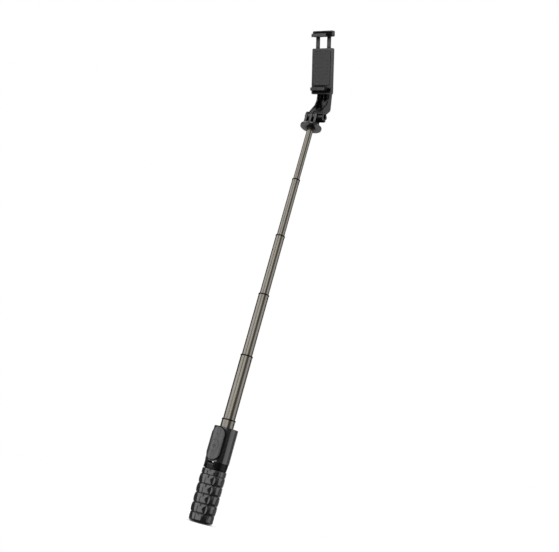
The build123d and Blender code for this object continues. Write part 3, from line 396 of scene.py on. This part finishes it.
def make_piece(name, points, faces, body, slot, sharp=()):
    """A mesh piece from points in millimetres, which rides on a body with a slot's finish."""
    mesh = bpy.data.meshes.new(name)
    mesh.from_pydata([Vector(point) * MM for point in points], [], faces)
    mesh.validate()
    mesh.update()
    for polygon in mesh.polygons:
        polygon.use_smooth = True
    if sharp:
        wanted = {frozenset(pair) for pair in sharp}
        for edge in mesh.edges:
            if frozenset(edge.vertices) in wanted:
                edge.use_edge_sharp = True
    mesh.materials.append(SURFACES[slot])
    piece = bpy.data.objects.new(name, mesh)
    bpy.context.scene.collection.objects.link(piece)
    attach(piece, body)
    return piece


# Studded grip


def groove_heights():
    """Heights of the grooves across the grip."""
    return [FIRST_GROOVE_Z + STUD_PITCH * row for row in range(STUD_ROWS + 1)]


def stud_profile(share):
    """Azimuths and radii across half a leg at a height in a stud row, -1 to 1 from groove to groove."""
    crown = 1.0 - share * share
    facet_angle = VALLEY_ANGLE - VALLEY_HALF_ANGLE - FACET_REACH * (1.0 - abs(share))
    crescent_angle = VALLEY_ANGLE + VALLEY_HALF_ANGLE + CRESCENT_REACH * crown
    face = GRIP_RADIUS + FACE_BULGE * crown
    brim = GRIP_RADIUS + EDGE_BULGE * crown
    return facet_angle, crescent_angle, face, brim


def skin_levels():
    """The skin's rings as (height, place in a stud row or None where the grip is plain, depth)."""
    levels = []
    for step in range(END_STEPS + 1):
        turn = math.radians(90.0 * step / END_STEPS)
        height = GRIP_END_ROUNDING * (1.0 - math.cos(turn))
        levels.append((height, None, GRIP_END_ROUNDING * (1.0 - math.sin(turn))))
    grooves = groove_heights()
    levels.append((grooves[0] - GROOVE_HALF_WIDTH - PLAIN_MARGIN, None, 0.0))
    for row, groove in enumerate(grooves):
        levels.append((groove - GROOVE_HALF_WIDTH, 1.0, 0.0))
        levels.append((groove - GROOVE_FLOOR_HALF_WIDTH, 1.0, GROOVE_DEPTH))
        levels.append((groove + GROOVE_FLOOR_HALF_WIDTH, 1.0, GROOVE_DEPTH))
        levels.append((groove + GROOVE_HALF_WIDTH, 1.0, 0.0))
        if row < STUD_ROWS:
            middle = groove + STUD_PITCH / 2
            reach = STUD_PITCH / 2 - GROOVE_HALF_WIDTH
            for step in range(1, STUD_STEPS):
                share = -1.0 + 2.0 * step / STUD_STEPS
                levels.append((middle + share * reach, share, 0.0))
    levels.append((grooves[-1] + GROOVE_HALF_WIDTH + PLAIN_MARGIN, None, 0.0))
    levels.append((SKIN_TOP_Z - SKIN_TOP_BEVEL, None, 0.0))
    levels.append((SKIN_TOP_Z, None, SKIN_TOP_BEVEL))
    return levels


def edge_angle(radius):
    """Azimuth of a leg's side face from the leg's middle, at a radius."""
    return LEG_HALF_ANGLE - math.degrees(math.asin(HALF_GAP / radius))


def between(first, last, part):
    """A number part of the way from a first to a last one."""
    return first + (last - first) * part


def skin_columns(level):
    """Points from a leg's middle to its edge at one level, as (azimuth, radius, is a crease)."""
    share, depth = level[1:]
    if share is None:
        radius = GRIP_RADIUS - depth
        return [(angle, radius, False) for angle in (*PLAIN_ANGLES, edge_angle(radius))]
    facet, crescent, face, brim = stud_profile(share)
    valley = GRIP_RADIUS + VALLEY_BULGE
    valley_start = VALLEY_ANGLE - VALLEY_HALF_ANGLE
    valley_end = VALLEY_ANGLE + VALLEY_HALF_ANGLE
    half = []
    for step in range(STRIP_STEPS + 1):
        half.append((facet * step / STRIP_STEPS, face, step == STRIP_STEPS))
    for step in range(1, STRIP_STEPS + 1):
        part = step / STRIP_STEPS
        angle = between(facet, valley_start, part)
        half.append((angle, between(face, valley, part), step == STRIP_STEPS))
    half.append((valley_end, valley, True))
    for step in range(1, STRIP_STEPS + 1):
        part = step / STRIP_STEPS
        angle = between(valley_end, crescent, part)
        half.append((angle, between(valley, brim, part), step == STRIP_STEPS))
    last = edge_angle(brim)
    half.append(((crescent + last) / 2, brim, False))
    half.append((last, brim, False))
    return [(angle, radius - depth, crease) for angle, radius, crease in half]


def skin_back(height):
    """Radius and height of the skin's inner side behind a point of its outer side."""
    if height >= GRIP_END_ROUNDING:
        return GRIP_RADIUS - SKIN_DEPTH, height
    reach = GRIP_END_ROUNDING - SKIN_DEPTH
    tilt = math.acos((GRIP_END_ROUNDING - height) / GRIP_END_ROUNDING)
    radius = GRIP_RADIUS - GRIP_END_ROUNDING + reach * math.sin(tilt)
    return radius, GRIP_END_ROUNDING - reach * math.cos(tilt)


def leg_skin(azimuth):
    """The faceted outer skin of one leg, closed to a thin shell, as points, faces and sharp edges."""
    points = []
    rows = []
    for level in skin_levels():
        half = skin_columns(level)
        across = [(-angle, radius, crease) for angle, radius, crease in reversed(half[1:])] + half
        height = level[0]
        back, back_height = skin_back(height)
        bound = edge_angle(back)
        outer = []
        inner = []
        for angle, radius, crease in across:
            turn = math.radians(azimuth + angle)
            outer.append((len(points), crease))
            points.append((radius * math.cos(turn), radius * math.sin(turn), height))
        for angle, _, _ in across:
            turn = math.radians(azimuth + max(-bound, min(bound, angle)))
            inner.append(len(points))
            points.append((back * math.cos(turn), back * math.sin(turn), back_height))
        rows.append((outer, inner))
    faces = []
    sharp = []
    for (outer, inner), (outer_up, inner_up) in zip(rows, rows[1:]):
        count = len(outer)
        for index in range(count - 1):
            low = (outer[index][0], outer[index + 1][0])
            high = (outer_up[index + 1][0], outer_up[index][0])
            faces.append(low + high)
            faces.append((inner[index + 1], inner[index], inner_up[index], inner_up[index + 1]))
        faces.append((outer[0][0], outer_up[0][0], inner_up[0], inner[0]))
        faces.append((outer_up[-1][0], outer[-1][0], inner[-1], inner_up[-1]))
        for index in range(count):
            at_side = index in (0, count - 1)
            if at_side or (outer[index][1] and outer_up[index][1]):
                sharp.append((outer[index][0], outer_up[index][0]))
    for (outer, inner), at_top in ((rows[0], False), (rows[-1], True)):
        for index in range(len(outer) - 1):
            loop = (outer[index][0], inner[index], inner[index + 1], outer[index + 1][0])
            faces.append(tuple(reversed(loop)) if at_top else loop)
            sharp.append((outer[index][0], outer[index + 1][0]))
    return points, faces, sharp


def leg_core(side):
    """The rest of a leg's shell: a copy of the CAD shell with its outer surface drawn in under the skin.

    Its plastic is duller than the skin's, because its hinge band shows above the skin.
    """
    mesh = frame["nodes"][f"{side}_leg_shell"].data.copy()
    under = (GRIP_RADIUS - SKIN_DEPTH) * MM
    rim = (GRIP_RADIUS - GRIP_END_ROUNDING) * MM
    rounding = GRIP_END_ROUNDING * MM
    top = (LEG_TOP_Z + TOLERANCE) * MM
    for vertex in mesh.vertices:
        place = vertex.co
        radius = math.hypot(place.x, place.y)
        if place.z > top:
            continue
        if place.z >= rounding:
            if radius > under:
                place.x *= under / radius
                place.y *= under / radius
        elif radius > rim:
            away = math.hypot(radius - rim, rounding - place.z)
            if away > rounding - SKIN_DEPTH * MM:
                shrink = (rounding - SKIN_DEPTH * MM) / away
                new_radius = rim + (radius - rim) * shrink
                place.x *= new_radius / radius
                place.y *= new_radius / radius
                place.z = rounding - (rounding - place.z) * shrink
    mesh.materials.clear()
    mesh.materials.append(SURFACES["hinge_plastic"])
    return mesh


for side, azimuth in LEG_AZIMUTHS.items():
    body = f"{side}_leg"
    points, faces, sharp = leg_skin(azimuth)
    skin = make_piece(f"{side}_leg_skin", points, faces, body, "leg_plastic", sharp)
    soften = skin.modifiers.new("round", "BEVEL")
    soften.width = SKIN_EDGE_ROUNDING * MM
    soften.segments = 2
    soften.limit_method = "ANGLE"
    soften.angle_limit = math.radians(SKIN_EDGE_ANGLE)
    core = bpy.data.objects.new(f"{side}_leg_core", leg_core(side))
    bpy.context.scene.collection.objects.link(core)
    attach(core, body)
    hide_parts(f"{side}_leg_shell")


# Coil springs


def clamp_matrix():
    """Place of the clamp's own frame: x right, y up along the phone, z towards its screen."""
    up = Vector((0.0, -math.sin(LEAN), math.cos(LEAN)))
    out = Vector((0.0, -math.cos(LEAN), -math.sin(LEAN)))
    place = Vector((0.0, 0.0, TILT_Z)) + PIVOT_UP * up - CLAMP_FACE_BACK * out
    matrix = Matrix((Vector((1.0, 0.0, 0.0)), up, out)).transposed().to_4x4()
    matrix.translation = place
    return matrix


def sweep(path, radius, sides):
    """Points and faces of a round wire along a path."""
    points = []
    faces = []
    for index, point in enumerate(path):
        ahead = path[min(index + 1, len(path) - 1)] - path[max(index - 1, 0)]
        ahead.normalize()
        if index == 0:
            first = ahead.orthogonal().normalized()
        else:
            first = (first - ahead * first.dot(ahead)).normalized()
        second = ahead.cross(first)
        for side in range(sides):
            turn = 2.0 * math.pi * side / sides
            points.append(point + radius * (math.cos(turn) * first + math.sin(turn) * second))
    for index in range(len(path) - 1):
        base = index * sides
        for side in range(sides):
            after = (side + 1) % sides
            faces.append((base + side, base + after, base + sides + after, base + sides + side))
    faces.append(tuple(reversed(range(sides))))
    faces.append(tuple(range(len(points) - sides, len(points))))
    return points, faces


def coil_springs():
    """Both pull springs of the clamp, wound from wire, as points and faces."""
    points = []
    faces = []
    matrix = clamp_matrix()
    steps = SPRING_TURNS * STEPS_IN_TURN
    for side in (-1.0, 1.0):
        path = []
        for step in range(steps + 1):
            share = step / steps
            turn = 2.0 * math.pi * SPRING_TURNS * share
            x = side * SPRING_X + COIL_RADIUS * math.cos(turn)
            y = between(SPRING_BOTTOM, SPRING_TOP, share)
            path.append(Vector((x, y, SPRING_DEPTH + COIL_RADIUS * math.sin(turn))))
        wire_points, wire_faces = sweep(path, WIRE_RADIUS, WIRE_SIDES)
        base = len(points)
        points += [matrix @ point for point in wire_points]
        faces += [tuple(base + index for index in face) for face in wire_faces]
    return points, faces


spring_points, spring_faces = coil_springs()
springs = make_piece("pull_springs", spring_points, spring_faces, "clamp", "spring_steel")
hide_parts("clamp_springs")


# CAD nodes that show as they are

for name, node in frame["nodes"].items():
    if node.hide_render:
        continue
    surface = SURFACES[NODE_SLOTS[name]]
    if node.data.materials:
        for slot in node.material_slots:
            slot.material = surface
    else:
        node.data.materials.append(surface)


# Stage, light and camera

CAMERA_PLACE = Vector((0.5026, -0.8629, 0.0656))
CAMERA_RIGHT = Vector((0.8731, 0.4139, 0.2576))
CAMERA_AHEAD = Vector((-0.4750, 0.8413, 0.2581))
CAMERA_LENS = 49.27
SENSOR_WIDTH = 36.0
NEAREST_SEEN = 0.02
VIEW_AZIMUTH = 30.2

SOFTBOX_DISTANCE = 1.9
LOW_ROW = (-0.55, 0.225)
HIGH_ROW = (0.225, 2.05)
WHOLE_HEIGHT = (-0.55, 2.05)

# Name, first and last direction in degrees right of the camera, row and radiance of each softbox
SOFTBOXES = (
    ("left_low", -95.0, -67.0, LOW_ROW, 3.2),
    ("front_low", -59.0, -8.0, LOW_ROW, 3.3),
    ("left_high", -103.0, -47.0, HIGH_ROW, 3.2),
    ("front_high", -34.0, 5.0, HIGH_ROW, 3.2),
    ("dim_high", 5.5, 51.5, HIGH_ROW, 0.4),
    ("right_low", 52.0, 98.0, LOW_ROW, 2.1),
    ("right_high", 52.0, 98.0, HIGH_ROW, 2.4),
    ("right_fill", 99.0, 124.0, WHOLE_HEIGHT, 0.5),
    ("back_right_strip", 142.0, 156.0, WHOLE_HEIGHT, 0.8),
    ("back_left_strip", -156.0, -142.0, WHOLE_HEIGHT, 0.4),
)

CEILING_SIZE = 3.0
CEILING_HEIGHT = 2.4
CEILING_POWER = 62.0

FLOOR_RADIUS = 2.0
FLOOR_DROP = 0.0002
FLOOR_FADE = (0.10, 0.55)
FLOOR_SIDES = 96
FLOOR_COLOR = (0.84, 0.84, 0.835, 1.0)
FLOOR_ROUGHNESS = 0.7

# Level of the world's light at heights from -1 to 1, and at the very top
WORLD_LEVELS = ((-0.35, 0.12), (-0.2, 0.1), (0.45, 0.1), (0.7, 0.5))
WORLD_TOP_LEVEL = 0.5

# A brighter sweep: its level, and where it starts and is full, away from the camera and downwards
SWEEP_LEVEL = 0.9
SWEEP_AWAY = (0.2, 0.6)
SWEEP_DOWN = (-0.15, -0.35)


def toward(angle):
    """Level direction from the stick, turned right from the camera's side by an angle in degrees."""
    turn = math.radians(VIEW_AZIMUTH + angle)
    return Vector((math.sin(turn), -math.cos(turn), 0.0))


def softbox(name, start, end, row, radiance):
    """A flat upright light that covers a range of directions from the stick, between two heights."""
    low_z, high_z = row
    height = high_z - low_z
    width = 2.0 * SOFTBOX_DISTANCE * math.tan(math.radians(end - start) / 2)
    data = bpy.data.lights.new(name, "AREA")
    data.shape = "RECTANGLE"
    data.size = width
    data.size_y = height
    data.energy = radiance * math.pi * width * height
    light = bpy.data.objects.new(name, data)
    bpy.context.scene.collection.objects.link(light)
    out = toward((start + end) / 2)
    light.location = out * SOFTBOX_DISTANCE + Vector((0.0, 0.0, (low_z + high_z) / 2))
    light.rotation_mode = "QUATERNION"
    light.rotation_quaternion = (-out).to_track_quat("-Z", "Y")
    light.visible_camera = False


def ceiling():
    """A wide soft light from above that stays out of the reflections."""
    data = bpy.data.lights.new("ceiling", "AREA")
    data.shape = "SQUARE"
    data.size = CEILING_SIZE
    data.energy = CEILING_POWER
    light = bpy.data.objects.new("ceiling", data)
    bpy.context.scene.collection.objects.link(light)
    light.location = (0.0, 0.0, CEILING_HEIGHT)
    light.visible_camera = False
    light.visible_glossy = False


def pale_floor():
    """A round pale floor that fades into the background."""
    mesh = bpy.data.meshes.new("floor")
    work = bmesh.new()
    bmesh.ops.create_circle(work, cap_ends=True, segments=FLOOR_SIDES, radius=FLOOR_RADIUS)
    work.to_mesh(mesh)
    work.free()
    floor = bpy.data.objects.new("floor", mesh)
    bpy.context.scene.collection.objects.link(floor)
    floor.location = (0.0, 0.0, -FLOOR_DROP)
    floor.visible_glossy = False
    floor.visible_diffuse = False
    material = bpy.data.materials.new("pale_floor")
    material.use_nodes = True
    tree = material.node_tree
    shader = tree.nodes["Principled BSDF"]
    shader.inputs["Base Color"].default_value = FLOOR_COLOR
    shader.inputs["Roughness"].default_value = FLOOR_ROUGHNESS
    coordinate = tree.nodes.new("ShaderNodeTexCoord")
    length = tree.nodes.new("ShaderNodeVectorMath")
    length.operation = "LENGTH"
    fade = tree.nodes.new("ShaderNodeMapRange")
    fade.interpolation_type = "SMOOTHSTEP"
    fade.inputs["From Min"].default_value = FLOOR_FADE[0]
    fade.inputs["From Max"].default_value = FLOOR_FADE[1]
    fade.inputs["To Min"].default_value = 1.0
    fade.inputs["To Max"].default_value = 0.0
    tree.links.new(coordinate.outputs["Object"], length.inputs[0])
    tree.links.new(length.outputs["Value"], fade.inputs["Value"])
    tree.links.new(fade.outputs["Result"], shader.inputs["Alpha"])
    mesh.materials.append(material)


def grey(level):
    """An opaque grey."""
    return (level, level, level, 1.0)


def studio_world():
    """White behind the object for the camera, and dim all round it, so the softboxes shape the reflections.

    A brighter sweep low on the far side lights the undersides.
    """
    world = bpy.data.worlds.new("studio")
    bpy.context.scene.world = world
    world.use_nodes = True
    tree = world.node_tree
    join = tree.links.new

    def remap(value, start, end):
        """Maps a range of numbers to 0 to 1."""
        node = tree.nodes.new("ShaderNodeMapRange")
        node.inputs["From Min"].default_value = start
        node.inputs["From Max"].default_value = end
        join(value, node.inputs["Value"])
        return node.outputs["Result"]

    coordinate = tree.nodes.new("ShaderNodeTexCoord")
    split = tree.nodes.new("ShaderNodeSeparateXYZ")
    join(coordinate.outputs["Generated"], split.inputs["Vector"])
    ramp = tree.nodes.new("ShaderNodeValToRGB")
    join(remap(split.outputs["Z"], -1.0, 1.0), ramp.inputs["Fac"])
    stops = ramp.color_ramp.elements
    stops[-1].color = grey(WORLD_TOP_LEVEL)
    lowest, *others = WORLD_LEVELS
    stops[0].position = (lowest[0] + 1.0) / 2.0
    stops[0].color = grey(lowest[1])
    for height, level in others:
        stop = stops.new((height + 1.0) / 2.0)
        stop.color = grey(level)

    behind = tree.nodes.new("ShaderNodeVectorMath")
    behind.operation = "DOT_PRODUCT"
    behind.inputs[1].default_value = -toward(0.0)
    join(coordinate.outputs["Generated"], behind.inputs[0])
    sweep_mask = tree.nodes.new("ShaderNodeMath")
    sweep_mask.operation = "MULTIPLY"
    join(remap(behind.outputs["Value"], *SWEEP_AWAY), sweep_mask.inputs[0])
    join(remap(split.outputs["Z"], *SWEEP_DOWN), sweep_mask.inputs[1])
    whole = tree.nodes.new("ShaderNodeMix")
    whole.data_type = "RGBA"
    whole.inputs[7].default_value = grey(SWEEP_LEVEL)
    join(sweep_mask.outputs["Value"], whole.inputs["Factor"])
    join(ramp.outputs["Color"], whole.inputs[6])
    background = tree.nodes["Background"]
    join(whole.outputs[2], background.inputs["Color"])

    white = tree.nodes.new("ShaderNodeBackground")
    white.inputs["Color"].default_value = grey(1.0)
    path = tree.nodes.new("ShaderNodeLightPath")
    mix = tree.nodes.new("ShaderNodeMixShader")
    join(path.outputs["Is Camera Ray"], mix.inputs["Fac"])
    join(background.outputs["Background"], mix.inputs[1])
    join(white.outputs["Background"], mix.inputs[2])
    join(mix.outputs["Shader"], tree.nodes["World Output"].inputs["Surface"])


def set_camera():
    """The camera at the photograph's viewing angle."""
    data = bpy.data.cameras.new("camera")
    data.lens = CAMERA_LENS
    data.sensor_width = SENSOR_WIDTH
    data.clip_start = NEAREST_SEEN
    camera = bpy.data.objects.new("camera", data)
    bpy.context.scene.collection.objects.link(camera)
    ahead = CAMERA_AHEAD.normalized()
    right = (CAMERA_RIGHT - ahead * CAMERA_RIGHT.dot(ahead)).normalized()
    axes = Matrix((right, right.cross(ahead), -ahead)).transposed()
    camera.matrix_world = Matrix.Translation(CAMERA_PLACE) @ axes.to_4x4()
    bpy.context.scene.camera = camera


for row in SOFTBOXES:
    softbox(*row)
ceiling()
pale_floor()
studio_world()
bpy.context.scene.view_settings.view_transform = "Standard"
set_camera()
